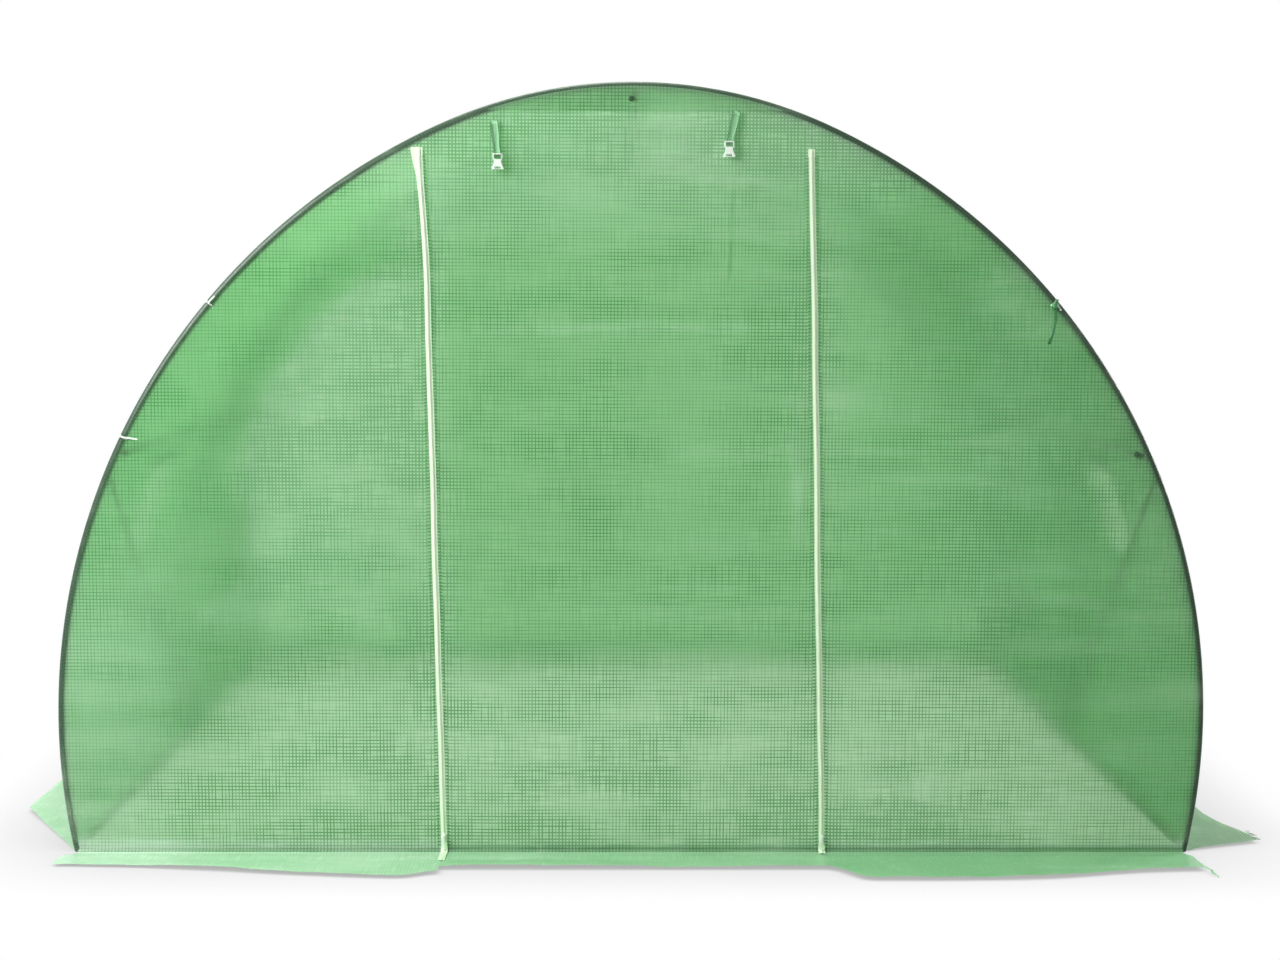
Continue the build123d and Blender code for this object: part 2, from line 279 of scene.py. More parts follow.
def film_finish(name, ground, thread, ground_cover, thread_cover, clear):
    """Milky film with an uneven grid of threads woven into it. Doubled film covers more, and the ply mark also
    carries painted shade. The pale mark carries painted light as well as haze and dust. Together with painted
    glints where the weave is crisp, it pales the film towards a lit pale green.
    """
    f = Finish(name)
    flat = f.node("ShaderNodeUVMap", {"uv_map": "flat"})
    crisp, ply, laid, rest = (f.mark(word) for word in ("crisp", "ply", "laid", "rest"))
    wear = f.noise(1.0, 1.0, (1 / thread_pitch, 9.0, 1.0), flat).step(*thread_wear)
    uprights = thread_lines(f.axis(flat, "X"), crisp) * wear
    wear = f.noise(1.0, 1.0, (7.0, 1 / thread_pitch, 1.0), flat).step(*thread_wear)
    levels = thread_lines(f.axis(flat, "Y"), crisp) * wear
    threads = uprights.math("MAXIMUM", levels)
    cloud = f.noise(1.7, 3.0) - 0.5
    streak = f.noise(3.0, 3.0, (1.0, 1.0, 7.0)) - 0.5
    dust = f.noise(60.0, 2.0) - 0.5
    patch = f.noise(4.0, 3.0, (1.0, 1.0, 2.2)).step(0.3, 0.7)
    haze = cloud * 0.16 + streak * 0.12 + dust * 0.05
    shown = threads * (patch * 0.45 + 0.62 + crisp * 0.3)
    covered = shown * (thread_cover - ground_cover) + ground_cover + haze + ply * 0.3 + laid * 0.25
    cover = covered.math("MAXIMUM", 0.05).math("MINIMUM", 0.97)
    tone = f.blend(ground, thread, shown)
    misty = f.blend(tone, mist_green, (cloud + streak + 0.05).step(0.0, 0.9))
    full = shown.math("MINIMUM", 1.0)
    glint = f.noise(30.0, 3.0, (1.0, 1.0, 1.8)).step(0.5, 0.72) * crisp
    # painted light: film lying on the ground is painted a brighter green, standing in for the light it gets on
    # the white floor
    floor_lit = f.blend(misty, floor_lit_green, rest * 0.6)
    # painted light and painted glints: the pale mark and the crisp weave pale the film, less so on the threads
    paleness_and_painted_light = (laid * 0.88 + crisp * 0.42 + glint * 0.45) * (1 - full * 0.75)
    pale = f.blend(floor_lit, pale_lit_green, paleness_and_painted_light)
    rough = threads * 0.15 + 0.24 + dust * 0.2
    normal = f.bump(threads * 0.7 + dust, 0.25, 0.0006)
    skin = f.surface(pale, rough, normal)
    glow = f.node("ShaderNodeBsdfTranslucent", inputs={"Color": (*ground, 1)})
    body = f.mixed(0.5 - rest * 0.22 - full * 0.1, skin, glow)
    plain = f.node("ShaderNodeBsdfTransparent", inputs={"Color": clear})
    milky = f.node("ShaderNodeBsdfRefraction", inputs={"Color": clear, "Roughness": 0.5, "IOR": 1.1})
    return f.done(f.mixed(cover, f.mixed(0.94, plain, milky), body))


def tube_finish():
    """Dark coated steel with rubbed patches."""
    f = Finish("coated_tube")
    rub = f.noise(9.0, 4.0, (1.0, 1.0, 0.4)).step(0.56, 0.72)
    grain = f.noise(220.0, 2.0) - 0.5
    colour = f.blend((0.085, 0.098, 0.088), (0.17, 0.185, 0.175), rub * 0.7)
    normal = f.bump(grain, 0.12, 0.0004)
    return f.done(f.surface(colour, grain * 0.2 + 0.38 - rub * 0.08, normal, metallic=0.35))


def zip_finish():
    """Cream woven tape."""
    f = Finish("zip_tape")
    rib = f.ribs(260.0, 0.4)
    stain = f.noise(4.0, 3.0, (1.0, 1.0, 0.3)).step(0.45, 0.75)
    colour = f.blend((0.69, 0.90, 0.61), (0.54, 0.77, 0.50), stain * 0.5 + rib * 0.12)
    return f.done(f.surface(colour, rib * 0.1 + 0.6, f.bump(rib, 0.35, 0.0004)))


def coil_finish():
    """Nylon teeth of the zip."""
    f = Finish("zip_teeth")
    speck = f.noise(90.0, 2.0) - 0.5
    colour = f.blend((0.80, 0.86, 0.72), (0.60, 0.70, 0.54), speck + 0.4)
    return f.done(f.surface(colour, speck * 0.2 + 0.4))


def webbing_finish():
    """Green woven strap."""
    f = Finish("strap_webbing")
    bars = f.ribs(330.0, 0.6)
    worn = f.noise(40.0, 3.0) - 0.5
    colour = f.blend((0.25, 0.55, 0.28), (0.38, 0.70, 0.41), bars * 0.6 + worn * 0.5)
    return f.done(f.surface(colour, worn * 0.2 + 0.7, f.bump(bars, 0.5, 0.0005)))


def moulded_finish(name, colour, shade):
    """Moulded plastic with a faint texture."""
    f = Finish(name)
    speck = f.noise(320.0, 2.0) - 0.5
    cloud = f.noise(25.0, 2.0)
    tone = f.blend(colour, shade, cloud.step(0.35, 0.75) * 0.5)
    return f.done(f.surface(tone, speck * 0.2 + 0.35, f.bump(speck, 0.1, 0.0003)))


def net_finish():
    """Fine insect net."""
    f = Finish("window_net")
    flat = f.node("ShaderNodeUVMap", {"uv_map": "flat"})
    across, along = (off_middle(f.axis(flat, way), net_pitch).step(0.28, 0.36) for way in "XY")
    lines = across.math("MAXIMUM", along)
    dust = f.noise(30.0, 2.0) - 0.5
    colour = f.blend((0.34, 0.50, 0.36), (0.46, 0.60, 0.47), dust + 0.5)
    cloth = f.surface(colour, 0.7 + dust * 0.2, f.bump(lines, 0.3, 0.0004))
    through = f.node("ShaderNodeBsdfTransparent", inputs={"Color": (0.95, 0.97, 0.95, 1)})
    return f.done(f.mixed(lines * 0.72 + 0.2, through, cloth))


def bolt_finish():
    """Zinc-plated steel."""
    f = Finish("zinc_bolt")
    cloud = f.noise(160.0, 2.0)
    colour = f.blend((0.42, 0.43, 0.42), (0.58, 0.59, 0.57), cloud)
    return f.done(f.surface(colour, cloud * 0.2 + 0.3, metallic=0.9))


film_cloth = film_finish("reinforced_film", (0.27, 0.585, 0.285), (0.04, 0.19, 0.05), 0.40, 0.95, film_clear)
hem_cloth = film_finish("hem_film", (0.085, 0.155, 0.095), (0.055, 0.105, 0.065), 0.7, 0.9, hem_clear)
roll_cloth = film_finish("rolled_film", (0.18, 0.46, 0.20), (0.05, 0.22, 0.08), 0.85, 0.95, film_clear)
tube_paint = tube_finish()
zip_tape = zip_finish()
zip_coil = coil_finish()
webbing = webbing_finish()
white_plastic = moulded_finish("white_plastic", (0.74, 0.82, 0.73), (0.62, 0.74, 0.62))
dark_cord = moulded_finish("dark_tie", (0.03, 0.21, 0.06), (0.02, 0.12, 0.035))
dark_bolt = moulded_finish("dark_bolt", (0.012, 0.07, 0.022), (0.008, 0.045, 0.014))
window_net = net_finish()
zinc = bolt_finish()

# Making of the pieces
sharp_turn = 0.6
band_step = 0.006


def keep(bm, name, finish, smooth_faces=True):
    """The mesh as a finished piece on the tunnel."""
    mesh = bpy.data.meshes.new(name)
    bm.to_mesh(mesh)
    bm.free()
    for face in mesh.polygons:
        face.use_smooth = smooth_faces
    mesh.materials.append(finish)
    piece = bpy.data.objects.new(name, mesh)
    bpy.context.scene.collection.objects.link(piece)
    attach(piece, "root")
    return piece


def flat_grid(low, high, step, cuts=((), ())):
    """A flat cloth from corner to corner, with extra lines where it is to be folded or cut out."""
    bm = bmesh.new()
    size = Vector((high[0] - low[0], high[1] - low[1], 1))
    columns = max(round(size.x / step[0]), 1)
    rows = max(round(size.y / step[1]), 1)
    bmesh.ops.create_grid(bm, x_segments=columns, y_segments=rows, size=0.5)
    bmesh.ops.scale(bm, vec=size, verts=bm.verts)
    middle = Vector(((low[0] + high[0]) / 2, (low[1] + high[1]) / 2, 0))
    bmesh.ops.translate(bm, vec=middle, verts=bm.verts)
    for way, places in zip((Vector((1, 0, 0)), Vector((0, 1, 0))), cuts):
        for place in places:
            geometry = bm.verts[:] + bm.edges[:] + bm.faces[:]
            bmesh.ops.bisect_plane(bm, geom=geometry, plane_co=way * place, plane_no=way, dist=1e-6)
    return bm


def cut_holes(bm, holes):
    """Takes out the faces inside each hole, given as two flat corners."""
    gone = []
    for low, high in holes:
        for face in bm.faces:
            middle = face.calc_center_median()
            if low[0] < middle.x < high[0] and low[1] < middle.y < high[1]:
                gone.append(face)
    bmesh.ops.delete(bm, geom=gone, context="FACES")


def shape_cloth(bm, place, pattern=None, turned=False, **marks):
    """Bends the flat cloth into place. Each point keeps its place in the flat pattern for the weave."""
    flat = bm.loops.layers.uv.new("flat")
    layers = [(bm.verts.layers.float.new(name), mark) for name, mark in marks.items()]
    for face in bm.faces:
        for loop in face.loops:
            u, v = loop.vert.co.x, loop.vert.co.y
            loop[flat].uv = pattern(u, v) if pattern else (u, v)
    for vert in bm.verts:
        u, v = vert.co.x, vert.co.y
        for layer, mark in layers:
            vert[layer] = mark(u, v) if callable(mark) else mark
        vert.co = place(u, v)
    if turned:
        bmesh.ops.reverse_faces(bm, faces=bm.faces)


def bend(bm, place):
    """Moves each point of a flat mesh into place."""
    for vert in bm.verts:
        vert.co = place(vert.co.x, vert.co.y)


def weld(bm, dist=1e-5):
    """Makes points that lie together one."""
    bmesh.ops.remove_doubles(bm, verts=bm.verts, dist=dist)


def band_round(middle, out, up, along, reach, half):
    """A thin band round a tube or a roll."""

    def place(u, v):
        turn = v / reach
        return middle + (out * math.cos(turn) + up * math.sin(turn)) * reach + along * u

    bm = flat_grid((-half, 0), (half, 2 * math.pi * reach), (half, band_step))
    bend(bm, place)
    weld(bm)
    return bm


def box_at(bm, size, place):
    """A small block, turned as the matrix says."""
    bmesh.ops.create_cube(bm, size=1, matrix=place @ Matrix.Diagonal((*size, 1)))


def bevel_all(bm, width):
    """Breaks every sharp edge made so far."""
    sharp = [edge for edge in bm.edges if edge.is_manifold and edge.calc_face_angle() > sharp_turn]
    bmesh.ops.bevel(
        bm, geom=sharp, offset=width, offset_type="OFFSET", segments=2, profile=0.5, affect="EDGES", material=-1
    )


def join(bm, part):
    """Adds one mesh to another."""
    mesh = bpy.data.meshes.new("part")
    part.to_mesh(mesh)
    part.free()
    bm.from_mesh(mesh)
    bpy.data.meshes.remove(mesh)
    return bm


# Cover over the hoops
window_sill, window_head = run_at(net_low.z), run_at(net_high.z)
bend_radius = hem_radius - film / 2
bend_length = bend_radius * math.pi / 2
hem_flap = 0.004
cover_half = hoop_y + bend_length + hem_flap
cover_sag = 0.013
# painted light: the cover is paler over the top of the roof, as if lit from above
roof_painted_light = 0.45


def bay_share(y):
    """Where a place along the tunnel lies in its bay, from 0 at one hoop to 1 at the next."""
    return min(abs(y) / hoop_y, 1)


def cover_slack(run, y):
    """How far the film falls in between two hoops."""
    share = bay_share(y)
    hang = math.sin(math.pi * share)
    held = smooth(arch_half - abs(run), 0.02, 0.35)
    belly = cover_sag * hang ** 0.8 * held
    waves = 0.0035 * hang * ripple(run * 2.2, y * 2.6) + 0.0015 * hang * ripple(run * 7, y * 5, 3)
    pull = 0.002 * hang * math.sin(run * 34 + 3 * ripple(run, y * 2)) * smooth(abs(share - 0.5), 0.2, 0.5)
    return max(belly + waves + pull * held, 0)


def cover_place(run, way):
    """Round the arch by run, along the tunnel by way, with both ends turned round the end hoops."""
    end = math.copysign(1, way)
    reach = abs(way)
    if reach <= hoop_y:
        depth = film / 2 + cover_slack(run, way)
        y = way
    elif reach <= hoop_y + bend_length:
        turn = (reach - hoop_y) / bend_radius
        depth = film / 2 + bend_radius * (1 - math.cos(turn))
        y = end * (hoop_y + bend_radius * math.sin(turn))
    else:
        depth = film / 2 + bend_radius + reach - hoop_y - bend_length
        y = end * (hoop_y + bend_radius + film / 2)
    x, z = on_arch(run, depth)
    return Vector((x, y, max(z, film / 2)))


def make_cover():
    """The film over the hoops, with its four window openings."""
    edges = [window_middle - window_length / 2, window_middle + window_length / 2]
    cuts = ([-window_sill, -window_head, window_head, window_sill], [-place for place in edges] + edges)
    bm = flat_grid((-arch_half, -hoop_y), (arch_half, hoop_y), (0.03, 0.031), cuts)
    holes = []
    for side in (-1, 1):
        runs = sorted((side * window_head, side * window_sill))
        for bay in (-1, 1):
            ways = sorted((bay * edges[0], bay * edges[1]))
            holes.append(((runs[0], ways[0]), (runs[1], ways[1])))
    cut_holes(bm, holes)
    shape_cloth(bm, cover_place, laid=lambda run, _: roof_painted_light * (1 - smooth(abs(run), 0.7, 1.5)))
    piece = keep(bm, "cover_sheet", film_cloth)
    nodes = ["left_lower_cover", "right_lower_cover", "left_window_cover", "right_window_cover", "roof_cover"]
    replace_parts(piece, *nodes)


def make_hem(word, end):
    """The film turned round an end hoop, stretched thin over the dark tube."""
    bm = flat_grid((-arch_half, hoop_y), (arch_half, cover_half), (0.03, 0.004))
    shape_cloth(bm, lambda u, v: cover_place(u, end * v), turned=end < 0)
    piece = keep(bm, word + "_hem_sheet", hem_cloth)
    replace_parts(piece, word + "_hem")
    flat = (2 * arch_half, cover_half - hoop_y)


# Front wall: two panels and a door, each turned out on the ground as a skirt
seam_height = 1.83
left_seam = (-0.496, -0.541, 0.010)
right_seam = (0.498, 0.449, 0.0)
wall_y = front_y + film
wall_depth = hem_radius
fold_radius = 0.012
fold_lines = [0.045, 0.04, 0.034, 0.028, 0.024, 0.02, 0.016, 0.012, 0.006]
skirt_lines = [0.0, -0.004, -0.008, -0.016]
wall_gap = 0.001
crease_height = 1.375
crease_slope = 0.012
plait_x = 0.425

# Feet of the two panels: depth of the skirt, depth at its outer end, how far it flares out,
# where its taper starts, its share of depth beside the door, and the height of the fold's dark line
left_foot = {"depth": 0.235, "end": 0.13, "flare": 0.03, "taper": 0.0, "notch": 0.84, "line": 0.008}
right_foot = {"depth": 0.25, "end": 0.17, "flare": 0.01, "taper": 0.4, "notch": 0.62, "line": 0.014}
door_line = 0.014

# Sleeve round the front rail, and the skirts on the left, under the door and on the right
sleeve_height = 0.024
# top of the painted highlight above the rail's sleeve
sleeve_highlight_top = 0.045
# painted light: the skirts are paler on the lit left, least on the shaded right
skirt_painted_light = {-1: 0.7, 0: 0.3, 1: 0.1}
# painted shade: the shaded right skirt covers more, so it looks darker and greener
skirt_cover_and_shade = {-1: 0.7, 0: 0.8, 1: 1.0}
# painted light: the side skirt is paler on the lit left
side_skirt_painted_light = {-1: 0.55, 1: 0.3}
skirt_crisp = 0.35


def ridge(value, middle, width):
    """A soft ridge, 1 at its middle."""
    return math.exp(-(((value - middle) / width) ** 2))


def plait_span(z):
    """The upright fold beside the right zip has two soft ends."""
    return smooth(z, 0.75, 0.9) * smooth(1.25 - z, 0, 0.2)


def wall_slack(x, z):
    """How far the front film stands out from its flat plane."""
    held = smooth(wall_depth + 1.6 - math.hypot(x, z - 0.4), 0.0, 0.35)
    edge = smooth(arch_x(min(z, 1.9), wall_depth) - abs(x), 0.0, 0.25) * smooth(1.96 - z, 0.0, 0.2)
    low = smooth(z, 0.0, 0.12)
    zips = min(abs(x - zip_left), abs(x - zip_right))
    panel = smooth(zips, 0.0, 0.22)
    billow = 0.006 * ripple(x * 1.3, z * 1.1, 5) + 0.004 * panel
    level = 0.0032 * ripple(x * 1.1, z * 13, 9) * smooth(0.95 - z, 0.0, 0.45)
    crease = 0.0022 * ridge(z - crease_slope * x, crease_height, 0.018) * smooth(0.5 - abs(x), 0.0, 0.1)
    plait = 0.0026 * ridge(x, plait_x, 0.012) * plait_span(z)
    pucker = 0.0016 * ripple(x * 3, z * 19, 2) * (1 - smooth(zips, 0.01, 0.09))
    fine = 0.0012 * ripple(x * 8, z * 8, 1)
    return (billow + level + crease + plait + pucker + fine) * edge * low * (0.4 + 0.6 * held)


def seam_x(seam, rise):
    """The film pulls the zips a little out of plumb."""
    pull = seam[2] * smooth(rise, 1.5, seam_height)
    return mix(seam[0], seam[1], max(rise, 0) / seam_height) - pull + 0.002 * ripple(rise * 4, seam[0] * 9)


def skirt_lift(x, out, edge):
    """How high a skirt lies above the ground."""
    wave = 0.5 + 0.5 * ripple(x * 4.1, out * 4.0, 7)
    ruck = 0.0025 * ripple(x * 14, out * 11, 3)
    lip = smooth(out, 0.35 * edge, edge)
    return film / 2 + (0.0045 + 0.011 * wave * lip + ruck) * smooth(out, 0.0, 0.05)


def wall_fold(x, rise, edge):
    """From the flat pattern to the wall, and below it out along the ground."""
    if rise >= fold_radius:
        return Vector((x, wall_y - wall_slack(x, rise), rise))
    quarter = fold_radius * math.pi / 2
    turned = fold_radius - rise
    if turned <= quarter:
        turn = turned / fold_radius
        y = wall_y - fold_radius * (1 - math.cos(turn))
        z = film / 2 + fold_radius * (1 - math.sin(turn))
        return Vector((x, y, z))
    out = turned - quarter
    return Vector((x, wall_y - fold_radius - out, skirt_lift(x, out, edge)))


def resting(rise, line, paleness_and_painted_light):
    """How pale the skirt is below the fold, painted light from above, and the painted highlight on the rail's
    sleeve above the fold's dark line.
    """
    if rise < 0:
        return paleness_and_painted_light
    # painted highlight: a pale band on the sleeve above the fold's dark line
    return 0.85 * smooth(rise, line - 0.003, line + 0.002) * (1 - smooth(rise, sleeve_height, sleeve_highlight_top))


def sleeve(rise, cover):
    """Doubled film round the rail."""
    return 1.9 * (1.0 - smooth(rise, sleeve_height - 0.006, sleeve_height)) if rise >= 0 else cover


def left_lit_area(x, z):
    """Where the film on the left is painted paler, inside the line of the back hoop that shows through it:
    painted light from the lit back wall behind.
    """
    line = -1.0 + 1.2 * max(z - 1.0, 0) ** 2 - 0.25 * smooth(0.75 - z, 0.0, 0.2)
    return smooth(x, line - 0.05, line + 0.05) * smooth(-0.45 - x, 0.0, 0.1) * smooth(1.62 - z, 0.0, 0.2)


def front_haze_and_painted_light(x, z):
    """Paler places of the front film: painted light at the crown and on the left where the lit back wall shows
    through, painted highlights along the crease and the upright fold, paler level bands low down, and dust low
    on the far left.
    """
    # painted light: paler crown, where the roof lit from above shows through
    crown = 0.6 * smooth(z, 1.5, 1.74) * smooth(1.99 - z, 0.0, 0.1) * (0.7 + 0.3 * ripple(x * 5, z * 4))
    crown *= 1 - 0.6 * smooth(abs(x), 0.55, 0.75)
    # painted light: paler on the left, where the lit back wall shows through
    beside = 0.28 * left_lit_area(x, z) * smooth(z, 0.4, 0.75)
    level = 0.3 * smooth(ripple(x * 1.4, z * 21, 6), 0.2, 0.7) * smooth(1.0 - z, 0.0, 0.5)
    # painted highlights along the sloping crease and the upright fold
    crease = 0.45 * ridge(z - crease_slope * x, crease_height, 0.012) * smooth(0.5 - abs(x), 0.0, 0.2)
    plait = 0.6 * ridge(x, plait_x, 0.008) * plait_span(z)
    dusty = 0.5 * smooth(-x, 1.05, 1.3) * smooth(1.0 - z, 0.0, 0.6)
    dusty *= 0.8 + 0.5 * ripple(x * 1.6, z * 15, 4)
    return max(crown, beside, level, crease, plait, dusty)


def front_crisp(x, z):
    """Where the weave of the front film stands out."""
    crown = smooth(z, 1.66, 1.84) * (0.55 + 0.6 * smooth(x, 0.0, 0.35))
    zips = min(abs(x - seam_x(left_seam, z)), abs(x - seam_x(right_seam, z)))
    beside = 0.8 * (1 - smooth(zips, 0.01, 0.1)) * (0.6 + 0.6 * ripple(x, z * 3, 8))
    low = 0.7 * smooth(0.42 - z, 0.0, 0.3) * smooth(1.25 - abs(x), 0.0, 0.5)
    low *= 0.6 + 0.8 * ripple(x * 2, z * 5, 2)
    left = 0.6 * left_lit_area(x, z) * smooth(z, 0.7, 0.95)
    right = smooth(x, 0.8, 1.0) * smooth(z, 0.5, 0.65) * (0.36 + 0.7 * ripple(x * 3, z * 3, 6))
    return min(max(crown, beside, low, left, right, 0), 1) if z > 0 else skirt_crisp


def woven(flat):
    """Marks where the weave of a front panel stands out."""
    return lambda u, v: front_crisp(*flat(u, v))


def on_ground(flat):
    """Marks what lies below the fold of a flat pattern."""
    return lambda u, v: 1.0 if flat(u, v)[1] < 0 else 0.0


def make_side_panel(word, side, seam, foot):
    """One panel beside the door: its outer edge follows the hoop, its foot is the skirt."""
    top = arch_z(seam[1], wall_depth) - wall_gap
    spread = foot["depth"]

    def outer(rise):
        if rise >= 0:
            return side * arch_x(rise, wall_depth)
        return side * (wall_foot_x + foot["flare"] * smooth(-rise, 0.0, 0.1))

    def edge(x):
        share = (abs(x) - abs(seam[0])) / (wall_foot_x - abs(seam[0]))
        depth = mix(spread, foot["end"], smooth(share, foot["taper"], 1.0))
        return depth * mix(foot["notch"], 1.0, smooth(share, 0.0, 0.1)) + 0.006 * ripple(x * 5, 4)

    def flat(u, v):
        rise = v * top if v >= 0 else v
        x = mix(seam_x(seam, rise), outer(rise), u)
        return (x, rise) if v >= 0 else (x, v / spread * edge(x))

    def place(u, v):
        x, rise = flat(u, v)
        return wall_fold(x, rise, edge(x))

    def pale(u, v):
        x, rise = flat(u, v)
        return resting(rise, foot["line"], skirt_painted_light[side]) + front_haze_and_painted_light(x, rise)

    def extra_cover(u, v):
        x, rise = flat(u, v)
        left = 0.5 * smooth(-x, 0.95, 1.2) * smooth(rise, 0.3, 0.6)
        # painted shade: more cover over the right middle, where the back and right walls behind it are in shade
        middle = 0.85 * smooth(x, 0.5, 0.7) * smooth(1.25 - x, 0.0, 0.25) * smooth(rise, 0.6, 0.75)
        middle *= smooth(1.5 - rise, 0.0, 0.3)
        turn_in = 0.0
        if side > 0 and rise > 0:
            inside = arch_x(rise, wall_depth) - x
            turn_in = 1.2 * (1 - smooth(inside, 0.012, 0.02)) * smooth(1.5 - rise, 0.0, 0.4)
        return sleeve(rise, skirt_cover_and_shade[side]) + left + max(middle, turn_in)

    bends = [rise / top for rise in fold_lines] + skirt_lines
    bm = flat_grid((0, -spread), (1, 1), (0.028, 0.0105), ((), bends))
    marks = {"laid": pale, "ply": extra_cover, "crisp": woven(flat), "rest": on_ground(flat)}
    shape_cloth(bm, place, flat, side < 0, **marks)
    piece = keep(bm, word + "_panel_sheet", film_cloth)
    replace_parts(piece, "front_wall_" + word, "front_skirt_" + word)
    return piece


def make_door():
    """The roll-up door, with a short skirt of its own."""

    def flat(u, v):
        x, rise = mix(left_seam[0], right_seam[0], u), v
        if v < 0:
            return x, rise
        for _ in range(3):
            rise = v * (arch_z(x, wall_depth) - wall_gap)
            x = mix(seam_x(left_seam, rise), seam_x(right_seam, rise), u)
        return x, rise

    def place(u, v):
        x, rise = flat(u, v)
        return wall_fold(x, rise, door_skirt_width)

    def pale(u, v):
        x, rise = flat(u, v)
        share = 0.6 if rise >= 0 else 1.0
        return resting(rise, door_line, skirt_painted_light[0]) * share + front_haze_and_painted_light(x, rise)

    def extra_cover(u, v):
        return sleeve(flat(u, v)[1], skirt_cover_and_shade[0])

    bends = [rise / height for rise in fold_lines] + skirt_lines
    bm = flat_grid((0, -door_skirt_width), (1, 1), (0.026, 0.0105), ((), bends))
    marks = {"laid": pale, "ply": extra_cover, "crisp": woven(flat), "rest": on_ground(flat)}
    shape_cloth(bm, place, flat, **marks)
    piece = keep(bm, "door_sheet", film_cloth)
    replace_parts(piece, "front_door", "door_skirt")


def make_back_wall():
    """Plain film across the back hoop, turned out on the ground."""
    back_wall_y = -front_y - film
    spread = back_skirt_high.y + front_y
    top = height - wall_depth - wall_gap / 2
    wave_shift = 0.37

    def edge(x):
        return mix(spread, skirt_end, smooth(abs(x), wall_foot_x - 0.25, wall_foot_x))

    def flat(u, v):
        if v >= 0:
            return u * arch_x(v * top, wall_depth), v * top
        x = u * wall_foot_x
        return x, v / spread * edge(x)

    def place(u, v):
        x, rise = flat(u, v)
        front = wall_fold(x + wave_shift, rise, edge(x))
        return Vector((x, back_wall_y - (front.y - wall_y), front.z))

    def pale(u, v):
        return resting(flat(u, v)[1], door_line, skirt_painted_light[0])

    rest = on_ground(flat)
    bm = flat_grid((-1, -spread), (1, 1), (0.02, 0.0105), ((), [0.006, 0.003] + skirt_lines))
    shape_cloth(bm, place, flat, True, laid=pale, ply=lambda u, v: skirt_cover_and_shade[0] * rest(u, v), rest=rest)
    weld(bm)
    piece = keep(bm, "back_sheet", film_cloth)
    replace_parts(piece, "back_wall", "back_skirt")


def make_side_skirt(word, side, width, tip, corner_back):
    """A skirt along one side of the tunnel, with slanted ends and a tip of its own width at the front."""
    foot_x = -left_skirt_high.x
    corner_y = -hoop_y + corner_back

    def flat(u, v):
        y = mix(-hoop_y + corner_back * u, hoop_y - width * u, v)
        reach = mix(tip, width, smooth(y, corner_y, corner_y + 0.28))
        return u * (reach + 0.006 * ripple(v * 9, side)), y

    def place(u, v):
        out, y = flat(u, v)
        rise = mix(film, skirt_lift(y, out, width), smooth(out, 0.0, 0.03))
        return Vector((side * (foot_x + out), y, rise))

    bm = flat_grid((0, 0), (1, 1), (0.06, 0.012))
    shape_cloth(bm, place, flat, side < 0, laid=side_skirt_painted_light[side], ply=0.5, crisp=skirt_crisp, rest=0.6)
    piece = keep(bm, word + "_skirt_sheet", film_cloth)
    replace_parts(piece, word + "_skirt")
    return piece


def make_crown_flap():
    """The doubled segment of film under the crown, with a straight lower edge."""
    chord = 1.926
    proud = 0.0015
    reach = arch_x(chord, wall_depth)

    def flat(u, v):
        x = u * reach
        return x, mix(chord, arch_z(x, wall_depth), v)

    def place(u, v):
        x, z = flat(u, v)
        hang = 0.0015 * ripple(x * 9, z * 4) * (1 - v)
        return Vector((x, front_y - proud - abs(hang), z))

    bm = flat_grid((-1, 0), (1, 1), (0.02, 0.12))
    shape_cloth(bm, place, flat, laid=0.3)
    weld(bm)
    piece = keep(bm, "crown_flap", film_cloth)


# Zips beside the door
zip_half = 0.009
zip_flare = {"left": 1.4, "right": 0.0}
zip_feet = {"left": -0.095, "right": -0.02}
slider_rises = {"left": 0.040, "right": 0.036}
flare_length = 0.09
teeth_pitch = 0.0045
teeth_stagger = 0.0008
tooth_size = (0.004, 0.0016, 0.0026)
stitch_pitch = 0.0088
stitch_size = (0.0009, 0.0008, 0.0055)
tack_size = (0.0065, 0.0008, 0.0016)
seam_rows = ((-0.0140, tack_size), (-0.0088, stitch_size), (0.0088, stitch_size), (0.0140, tack_size))
slider_size = (0.011, 0.006, 0.017)
bridge_size = (0.003, 0.005, 0.009)
pull_size = (0.0065, 0.0018, 0.026)
pull_turn = math.radians(12)


def on_front(seam, across, rise, proud):
    """A place beside a seam of the front film, so far proud of it."""
    spot = wall_fold(seam_x(seam, rise) + across, rise, 0.2)
    return spot + Vector((0, -proud, 0.3 * proud if rise > fold_radius else proud))


